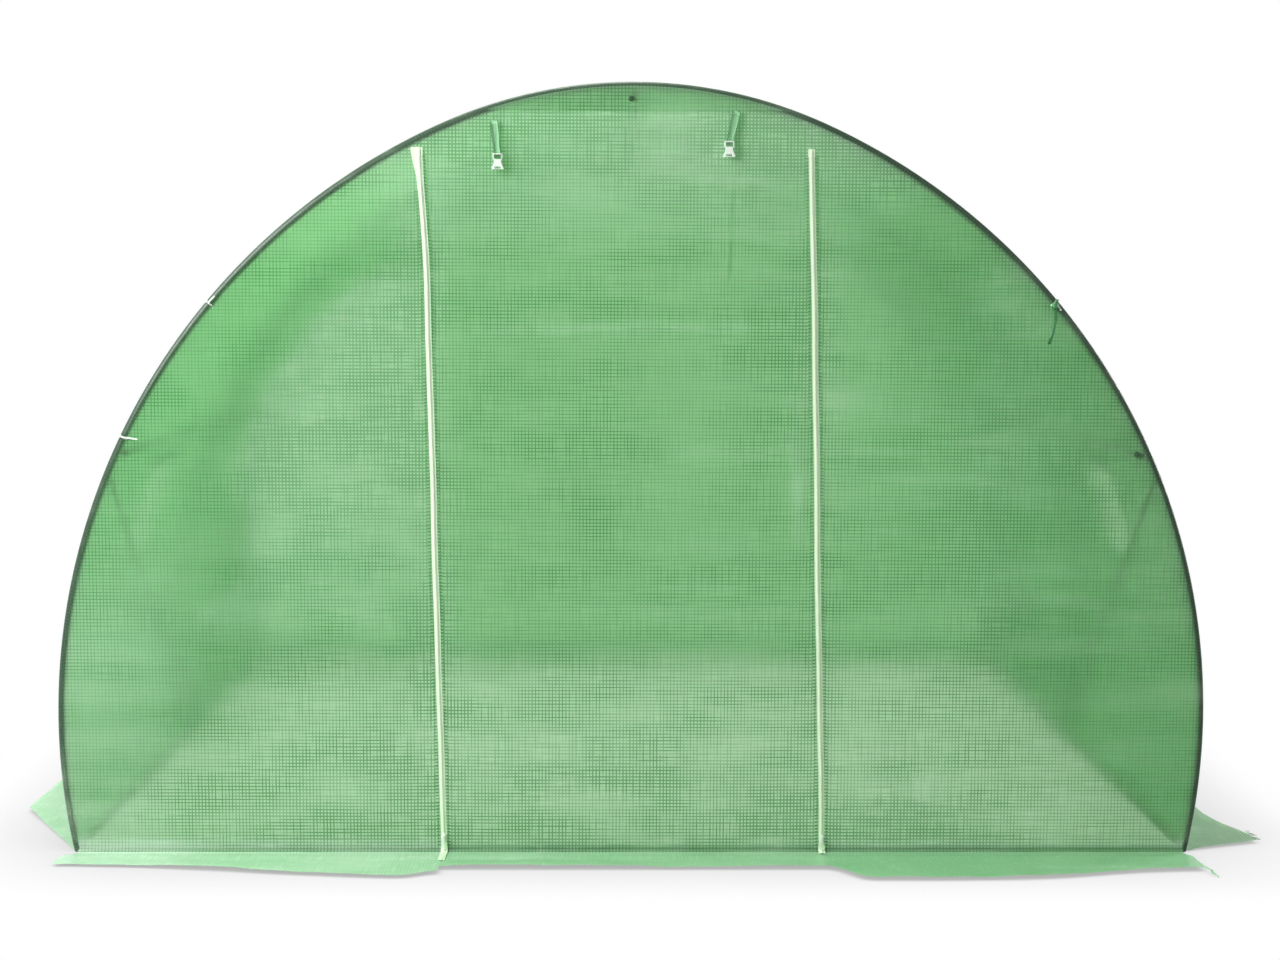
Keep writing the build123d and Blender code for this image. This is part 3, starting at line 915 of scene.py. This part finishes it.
def make_zip(word, seam):
    """Tape, teeth, stitches and slider of one zip, from the ground to the hem."""
    name = word + "_zip"
    top, foot, slider_rise = seam_height, zip_feet[word], slider_rises[word]

    def tape(u, v):
        flare = 1 + zip_flare[word] * smooth(v, top - flare_length, top) * (u < 0)
        return on_front(seam, u * flare, v, 0.0022 + 0.0014 * ridge(u, 0, 0.0028))

    bm = flat_grid((-zip_half, foot), (zip_half, top), (0.002, 0.012), ((), (0.012, 0.006, 0.0, -0.008)))
    shape_cloth(bm, tape)
    piece = keep(bm, name + "_tape", zip_tape)
    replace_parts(piece, name)

    bm = bmesh.new()
    for count in range(int((top - slider_rise) / teeth_pitch)):
        rise = slider_rise + count * teeth_pitch
        aside = teeth_stagger if count % 2 else -teeth_stagger
        box_at(bm, tooth_size, Matrix.Translation(on_front(seam, aside, rise, 0.0042)))
    keep(bm, name + "_teeth", zip_coil, False)

    bm = bmesh.new()
    for across, size in seam_rows:
        bare = flare_length if zip_flare[word] and across < 0 else 0.0
        for count in range(int((top - bare - 0.03) / stitch_pitch)):
            rise = 0.02 + count * stitch_pitch
            box_at(bm, size, Matrix.Translation(on_front(seam, across, rise, 0.0026)))
    keep(bm, name + "_stitches", dark_cord, False)

    bm = bmesh.new()
    spot = Matrix.Translation(on_front(seam, 0, slider_rise, 0.006))
    box_at(bm, slider_size, spot)
    bevel_all(bm, 0.0015)
    box_at(bm, bridge_size, spot @ Matrix.Translation((0, -0.004, 0)))
    hang = spot @ Matrix.Translation((0, -0.006, -0.004)) @ Matrix.Rotation(pull_turn, 4, "Y")
    box_at(bm, pull_size, hang @ Matrix.Translation((0, 0, -0.011)))
    keep(bm, name + "_slider", white_plastic, False)


# Straps that hold the rolled door, with their buckle halves
strap_tops = {"left": (-0.360, 1.898), "right": (0.256, 1.925)}
buckle_spots = {"left": (-0.350, 1.807), "right": (0.238, 1.841)}
strap_half = 0.0105
strap_thickness = 0.0016
edge_pitch = 0.008
edge_size = (0.0018, 0.0014, 0.0068)
buckle_length = 0.040
buckle_thickness = 0.008
buckle_proud = 0.016


def make_strap(name, top, foot):
    """A doubled strap from the crown down to its buckle, with darker edges."""
    span = Vector((foot[0] - top[0], 0, foot[1] - top[1]))
    length = span.length
    down = span.normalized()
    aside = Vector((-down.z, 0, down.x))
    middle = Vector((top[0], front_y - 0.004, top[1]))

    def place(u, v):
        narrow = 1 - 0.25 * smooth(v, 0.3 * length, length)
        sway = 0.0012 * ripple(u * 60, v * 30, top[0])
        edge = 0.0012 * smooth(abs(u), 0.6 * strap_half, strap_half)
        spot = middle + down * v + aside * (u * narrow)
        return spot + Vector((0, sway - edge - 0.003 * v / length, 0))

    bm = flat_grid((-strap_half, 0), (strap_half, length), (0.0038, 0.01))
    shape_cloth(bm, place)
    bmesh.ops.solidify(bm, geom=bm.faces, thickness=strap_thickness)
    piece = keep(bm, name, webbing)
    bm = bmesh.new()
    for across in (-strap_half, strap_half):
        for count in range(int(length / edge_pitch)):
            spot = place(across * 0.92, (count + 0.5) * edge_pitch)
            box_at(bm, edge_size, Matrix.Translation(spot - Vector((0, 0.0018, 0))))
    keep(bm, name + "_edges", dark_cord, False)
    return piece


def buckle_half(share):
    """Half the width of a buckle, from its flared mouth up to the bar that the strap goes round."""
    mouth = 0.0155 - 0.006 * smooth(share, 0.05, 0.45)
    bar = 0.0090 + 0.0035 * smooth(share, 0.56, 0.66)
    return mouth if share < 0.45 else max(bar, 0.0095)


def make_buckle(name, spot):
    """A moulded half of a side-release buckle with a slot at its bar and one at its mouth."""
    slots = [((-0.72, 0.66), (0.72, 0.93)), ((-0.5, 0.06), (0.5, 0.16))]
    bm = flat_grid((-1, 0), (1, 1), (0.125, 0.04), ([-0.72, -0.5, 0.5, 0.72], [0.66, 0.93, 0.06, 0.16]))
    cut_holes(bm, slots)
    bend(bm, lambda u, v: Vector((spot[0] + u * buckle_half(v), 0, spot[1] + (v - 0.8) * buckle_length)))
    weld(bm, 1e-6)
    bmesh.ops.recalc_face_normals(bm, faces=bm.faces)
    bmesh.ops.solidify(bm, geom=bm.faces, thickness=buckle_thickness)
    low = min(vert.co.y for vert in bm.verts)
    bmesh.ops.translate(bm, vec=Vector((0, front_y - buckle_proud - low, 0)), verts=bm.verts)
    bmesh.ops.recalc_face_normals(bm, faces=bm.faces)
    bevel_all(bm, 0.0009)
    return keep(bm, name, white_plastic)


def make_inner_strap():
    """A thin strap that hangs behind the door from the crown."""
    length, half, top_x = 0.43, 0.0045, 0.262
    top_z = arch_z(top_x, 2 * hem_radius) - 0.012

    def place(u, v):
        x = top_x + u - 0.03 * v + 0.004 * ripple(v * 6, 1)
        return Vector((x, -hoop_y + 0.02 + 0.3 * v, top_z - v))

    bm = flat_grid((-half, 0), (half, length), (half, 0.012))
    shape_cloth(bm, place)
    bmesh.ops.solidify(bm, geom=bm.faces, thickness=0.0015)
    keep(bm, "inner_strap", webbing)


# Ties on the front hoop, and what hangs loose
tie_band = 0.0042
tie_thickness = 0.0012
tie_head = (0.0075, 0.0065, 0.0055)
tie_end_width = 0.0038
tie_end_thickness = 0.0014
front = Vector((0, -1, 0))


def hoop_frame(side, z):
    """Middle of the front hoop's tube at a height, with its tangent and its way outwards."""
    run = side * run_at(z)
    x, rise = on_arch(run, hem_radius)
    next_x, next_z = on_arch(run + 0.01, hem_radius)
    along = Vector((next_x - x, 0, next_z - rise)).normalized()
    out_x, out_z = on_arch(run, hem_radius - 0.01)
    out = Vector((out_x - x, 0, out_z - rise)).normalized()
    return Vector((x, -hoop_y, rise)), along, out


def make_tie(name, side, z, tail):
    """A plastic tie round the hem and the hoop, with its head and its cut end."""
    middle, along, out = hoop_frame(side, z)
    reach = hem_radius + 0.0022
    bm = band_round(middle, out, front, along, reach, tie_band / 2)
    bmesh.ops.solidify(bm, geom=bm.faces, thickness=tie_thickness)
    turn = Matrix((along, out, front)).transposed().to_4x4()
    box_at(bm, tie_head, Matrix.Translation(middle + (front * 0.8 + out * 0.6) * (reach + 0.002)) @ turn)
    way = Vector((tail[0], 0, tail[1]))
    strip = Matrix((way.normalized(), way.normalized().cross(front), front)).transposed().to_4x4()
    start = middle + front * (reach + 0.004) + out * 0.003 + way / 2
    box_at(bm, (way.length, tie_end_width, tie_end_thickness), Matrix.Translation(start) @ strip)
    bmesh.ops.recalc_face_normals(bm, faces=bm.faces)
    keep(bm, name, white_plastic, False)


def make_tie_end():
    """A knotted dark strip on the right of the hem, its end hanging down."""
    middle = hoop_frame(1, 1.447)[0]
    length, half = 0.096, 0.0043
    start = middle + Vector((-0.004, -hem_radius - 0.006, -0.004))

    def place(u, v):
        wave = 0.006 * math.sin(v * 42) + 0.003 * ripple(v * 30, 4)
        lean = -0.1 * v + 0.9 * max(v - 0.095, 0)
        return start + Vector((u + wave + lean, 0.002 * math.sin(v * 60 + u * 90), -v))

    bm = flat_grid((-half, 0), (half, length), (0.0029, 0.005))
    bend(bm, place)
    bmesh.ops.solidify(bm, geom=bm.faces, thickness=tie_thickness)
    knot = Matrix.Translation(start) @ Matrix.Rotation(math.radians(25), 4, "Y")
    loop = Matrix.Translation(start + Vector((0.003, 0.001, 0.010))) @ Matrix.Diagonal((0.8, 0.7, 1.3, 1))
    for radius, spot in ((0.0085, knot), (0.0062, loop)):
        bmesh.ops.create_uvsphere(bm, u_segments=14, v_segments=9, radius=radius, matrix=spot)
    bmesh.ops.recalc_face_normals(bm, faces=bm.faces)
    keep(bm, "tie_end", dark_cord)


def make_loose_threads(front_skirt, side_skirt):
    """Threads that have come out of the corners of the skirts on the right."""
    spots = [vert.co for vert in front_skirt.data.vertices]
    front_corner = max(spots, key=lambda spot: spot.x - spot.y - 9 * spot.z)
    side_corner = max((vert.co for vert in side_skirt.data.vertices), key=lambda spot: spot.x)
    strands = []
    for count in range(3):
        way = (0.25 + 0.2 * count, -0.9)
        strands.append((front_corner, (-0.004 * count, 0.004 * count), way, 0.06 - 0.016 * count))
    for count in range(7):
        way = (0.8, 0.5 - 0.3 * (count % 3))
        strands.append((side_corner, (-0.005, 0.014 * count), way, 0.018 + 0.007 * (count % 2)))
    bm = bmesh.new()
    half, thickness = 0.0011, 0.0012
    for count, (corner, shift, way, length) in enumerate(strands):
        start = corner + Vector((*shift, thickness))

        def place(u, v):
            curl = 0.005 * ripple(v * 40, count * 3.7) * smooth(v, 0.0, 0.02)
            sink = min(0.15 * v, start.z - film)
            return start + Vector((u + curl + way[0] * v, way[1] * v, -sink))

        strand = flat_grid((-half, 0), (half, length), (2 * half, 0.004))
        bend(strand, place)
        bmesh.ops.solidify(strand, geom=strand.faces, thickness=thickness)
        join(bm, strand)
    keep(bm, "loose_threads", webbing, False)


# Windows in the sides, with their nets, borders and rolled flaps
border_width = 0.022
net_overlap = 0.01
roll_radius = 0.02
roll_core = 0.008
roll_lead = 0.03
roll_proud = 0.0035
roll_half = (flap_high.y - net_high.y) + window_length / 2
coil_turn = 2 * math.pi * 2.6
coil_length = coil_turn * (roll_radius + roll_core) / 2
roll_tie_half = 0.008


def outside(side, run, y, proud):
    """A place on the cover's outside, so far proud of it."""
    x, z = on_arch(side * run, film / 2 + cover_slack(run, y) - proud)
    return Vector((x, y, z))


def roll_place(side, y):
    """Where a rolled flap hangs, its way outwards and the middle of the roll."""
    foot = outside(side, window_head - roll_lead, y, roll_proud)
    out = (outside(side, window_head - roll_lead, y, roll_proud + 0.01) - foot).normalized()
    return foot, out, foot + out * roll_radius


def both_bays(make):
    """The same for the window of each bay, as one mesh."""
    return join(make(-window_middle), make(window_middle))


def make_nets(word, side):
    """The insect nets of one side's two windows."""
    reach = window_length / 2 + net_overlap

    def sheet(y):
        return flat_grid(
            (window_head - net_overlap, y - reach), (window_sill + net_overlap, y + reach), (0.02, 0.02)
        )

    def net(u, v):
        share = 2 * (u - window_head) / (window_sill - window_head) - 1
        return outside(side, u, v, -0.0012 - 0.004 * (1 - share ** 2))

    bm = both_bays(sheet)
    shape_cloth(bm, net, turned=side < 0)
    piece = keep(bm, word + "_window_net", window_net)
    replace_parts(piece, word + "_window_nets")


def make_borders(word, side):
    """The doubled film round one side's two windows."""

    def sheet(y):
        reach = window_length / 2
        low = (window_head - border_width, y - reach - border_width)
        high = (window_sill + border_width, y + reach + border_width)
        cuts = ([window_head, window_sill], [y - reach, y + reach])
        part = flat_grid(low, high, (0.015, 0.015), cuts)
        cut_holes(part, [tuple(zip(*cuts))])
        return part

    bm = both_bays(sheet)
    shape_cloth(bm, lambda u, v: outside(side, u, v, 0.0015), turned=side < 0, ply=1.0)
    piece = keep(bm, word + "_window_border", film_cloth)


def make_flaps(word, side):
    """The two flaps of one side, rolled up above their windows."""
    turn_in = (roll_radius - roll_core) / coil_turn

    def sheet(y):
        return flat_grid(
            (0, y - roll_half), (roll_lead + coil_length, y + roll_half), (0.0045, 0.015), ([roll_lead], ())
        )

    def rolled(u, v):
        if u < roll_lead:
            return outside(side, window_head - u, v, roll_proud)
        foot, out, middle = roll_place(side, v)
        up = Vector((-out.z * side, 0, out.x * side)) if out.x * side > 0 else Vector((out.z, 0, -out.x))
        turn = coil_turn * (u - roll_lead) / coil_length
        slump = 0.002 * ripple(v * 9, math.copysign(1, v)) + 0.0012 * ripple(v * 40, turn)
        radius = (roll_radius - turn_in * turn) * (1 + slump / roll_radius)
        return middle + (up * math.sin(turn) - out * math.cos(turn)) * radius

    bm = both_bays(sheet)
    shape_cloth(bm, rolled)
    piece = keep(bm, word + "_flap_roll", roll_cloth)
    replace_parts(piece, word + "_window_flaps")


def make_roll_ties(word, side):
    """Two bands round each rolled flap."""
    reach = roll_radius + 0.0035
    off = 0.55 * roll_half

    def tie(y):
        foot, out, middle = roll_place(side, y)
        along = Vector((0, 1, 0))
        part = band_round(middle, out, along.cross(out), along, reach, roll_tie_half)
        bmesh.ops.recalc_face_normals(part, faces=part.faces)
        bmesh.ops.solidify(part, geom=part.faces, thickness=0.0014)
        return part

    bm = both_bays(lambda y: join(tie(y - off), tie(y + off)))
    keep(bm, word + "_roll_ties", webbing)


# Bolts of the frame
purlin_low, purlin_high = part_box("front_purlins")
side_purlin_run = run_at(1.06)
bolt_depth = hem_radius + 3 * tube_radius
film_bolt_spots = (
    ((purlin_low.x + purlin_high.x) / 2 - 0.012, 1.956),
    (purlin_high.x - 2 * tube_radius, purlin_low.z + tube_radius + 0.004),
)


def stud(bm, sides, foot, tip, length, place):
    """A round or six-sided piece of a bolt."""
    bmesh.ops.create_cone(
        bm, cap_ends=True, segments=sides, radius1=foot, radius2=tip, depth=length, matrix=place
    )


def make_bolts():
    """Nuts and bolt ends under the purlins at each hoop."""
    bm = bmesh.new()
    for y in (-hoop_y, 0, hoop_y):
        for run in (-side_purlin_run, 0, side_purlin_run):
            x, z = on_arch(run, bolt_depth - 0.001)
            in_x, in_z = on_arch(run, bolt_depth + 0.01)
            way = Vector((in_x - x, 0, in_z - z)).normalized()
            spot = Matrix.Translation((x, y, z)) @ way.to_track_quat("Z", "Y").to_matrix().to_4x4()
            stud(bm, 6, 0.0058, 0.0058, 0.005, spot)
            stud(bm, 12, 0.003, 0.0026, 0.014, spot)
    keep(bm, "frame_bolts", zinc, False)


def make_film_bolts():
    """Dark heads of the two bolts that come through the front film at the purlins."""
    bm = bmesh.new()
    for x, z in film_bolt_spots:
        spot = Matrix.Translation((x, front_y - 0.003, z)) @ Matrix.Rotation(math.pi / 2, 4, "X")
        stud(bm, 20, 0.0075, 0.0062, 0.007, spot)
    bevel_all(bm, 0.0012)
    keep(bm, "film_bolts", dark_bolt)


make_cover()
make_hem("front", -1)
make_hem("back", 1)
make_side_panel("left", -1, left_seam, left_foot)
right_panel = make_side_panel("right", 1, right_seam, right_foot)
make_door()
make_back_wall()
make_side_skirt("left", -1, 0.235, 0.235, 0.40)
right_skirt = make_side_skirt("right", 1, 0.145, 0.213, 0.075)
make_crown_flap()
make_zip("left", left_seam)
make_zip("right", right_seam)
for word in ("left", "right"):
    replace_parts(make_strap(word + "_strap", strap_tops[word], buckle_spots[word]), "door_straps")
    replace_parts(make_buckle(word + "_buckle", buckle_spots[word]), "door_buckles")
make_inner_strap()
make_tie("left_upper_tie", -1, 1.441, (0.017, 0.017))
make_tie("left_lower_tie", -1, 1.095, (0.040, -0.006))
make_tie("right_tie", 1, 1.452, (0.014, -0.022))
make_tie_end()
make_loose_threads(right_panel, right_skirt)
for word, side in (("left", -1), ("right", 1)):
    make_nets(word, side)
    make_borders(word, side)
    make_flaps(word, side)
    make_roll_ties(word, side)
make_bolts()
make_film_bolts()

# Finish of the tubes, which stay as they are
for name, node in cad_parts.items():
    if any(word in name for word in ("hoop", "purlin", "rail", "brace")):
        node.data.materials.clear()
        node.data.materials.append(tube_paint)
        for face in node.data.polygons:
            face.material_index = 0

# Floor, light and camera
floor_half = 40.0
floor_drop = 0.0005
shade_half = (1.66, 1.66, 0.0)
lamp_aim = Vector((0, 0, 0.8))
lamps = {
    "key_lamp": ((-4.2, -3.6, 3.6), 3.0, 470),
    "fill_lamp": ((5.0, -4.5, 4.0), 4.0, 35),
    "ridge_lamp": ((-0.6, -0.6, 4.2), 2.0, 105),
    "right_lamp": ((4.6, 0.8, 1.9), 2.0, 110),
}
camera_place = (-0.06, -6.537, 1.448)
camera_yaw = math.radians(0.85)
camera_pitch = math.radians(5.27)
camera_roll = math.radians(0.25)
camera_lens = 55.07
camera_sensor = 36


def floor_finish():
    """Pale floor that keeps the shadow near the tunnel, with a painted contact shadow greying its white glow,
    and fades to white away from it.
    """
    f = Finish("pale_floor")
    spot = f.node("ShaderNodeVectorMath", {"operation": "ABSOLUTE"}, {0: f.place()})
    off = f.node("ShaderNodeVectorMath", {"operation": "SUBTRACT"}, {0: spot, 1: shade_half})
    clear = f.node("ShaderNodeVectorMath", {"operation": "MAXIMUM"}, {0: off, 1: (0.0, 0.0, 0.0)})
    away = f.node("ShaderNodeVectorMath", {"operation": "LENGTH"}, {0: clear}, "Value")
    seen = f.ray("Is Camera Ray").math("MAXIMUM", f.ray("Is Glossy Ray"))
    outdoors = f.axis(spot, "X").math("MAXIMUM", f.axis(spot, "Y")).step(1.38, 1.5)
    fade = away.step(0.02, 0.32) * 0.1 + outdoors * 0.32 + 0.58
    matte = f.node("ShaderNodeBsdfDiffuse", inputs={"Color": (0.52, 0.52, 0.52, 1)})
    # painted shadow: ambient occlusion greys the floor's white glow near the tunnel
    open_sky = f.node("ShaderNodeAmbientOcclusion", {"samples": 12}, {"Distance": 0.4}, "AO")
    white = f.node("ShaderNodeEmission", inputs={"Color": f.blend((0.45, 0.45, 0.45), (1, 1, 1), open_sky)})
    return f.done(f.mixed(seen * fade, matte, white))


def make_floor():
    bm = bmesh.new()
    bmesh.ops.create_grid(bm, x_segments=1, y_segments=1, size=floor_half)
    bmesh.ops.translate(bm, vec=Vector((0, 0, -floor_drop)), verts=bm.verts)
    mesh = bpy.data.meshes.new("floor")
    bm.to_mesh(mesh)
    bm.free()
    mesh.materials.append(floor_finish())
    floor = bpy.data.objects.new("floor", mesh)
    bpy.context.scene.collection.objects.link(floor)


def make_light():
    """White all round, brighter from the left, with four soft lamps."""
    world = bpy.data.worlds.new("studio")
    bpy.context.scene.world = world
    f = Finish("studio", world)
    way = f.node("ShaderNodeTexCoord", output="Generated")
    level = f.axis(way, "X").step(-1.0, 1.0) * -0.1 + 0.3
    plain = f.ray("Is Camera Ray").math("MAXIMUM", f.ray("Is Glossy Ray"))
    plain = plain.math("MAXIMUM", f.ray("Is Transmission Ray"))
    strength = plain + level * (1 - plain)
    back = f.node("ShaderNodeBackground", inputs={"Color": (1, 1, 1, 1), "Strength": strength})
    f.done(back, "ShaderNodeOutputWorld")
    for name, (place, size, power) in lamps.items():
        data = bpy.data.lights.new(name, "AREA")
        data.shape = "DISK"
        data.size = size
        data.energy = power
        lamp = bpy.data.objects.new(name, data)
        lamp.location = place
        lamp.rotation_euler = (lamp_aim - Vector(place)).to_track_quat("-Z", "Y").to_euler()
        bpy.context.scene.collection.objects.link(lamp)


def make_camera():
    data = bpy.data.cameras.new("photo_camera")
    data.sensor_width = camera_sensor
    data.lens = camera_lens
    camera = bpy.data.objects.new("photo_camera", data)
    turned = Matrix.Rotation(-camera_yaw, 4, "Z") @ Matrix.Rotation(math.pi / 2 - camera_pitch, 4, "X")
    camera.matrix_world = Matrix.Translation(camera_place) @ turned @ Matrix.Rotation(camera_roll, 4, "Z")
    bpy.context.scene.collection.objects.link(camera)
    bpy.context.scene.camera = camera


make_floor()
make_light()
make_camera()
bpy.context.scene.view_settings.view_transform = "Standard"
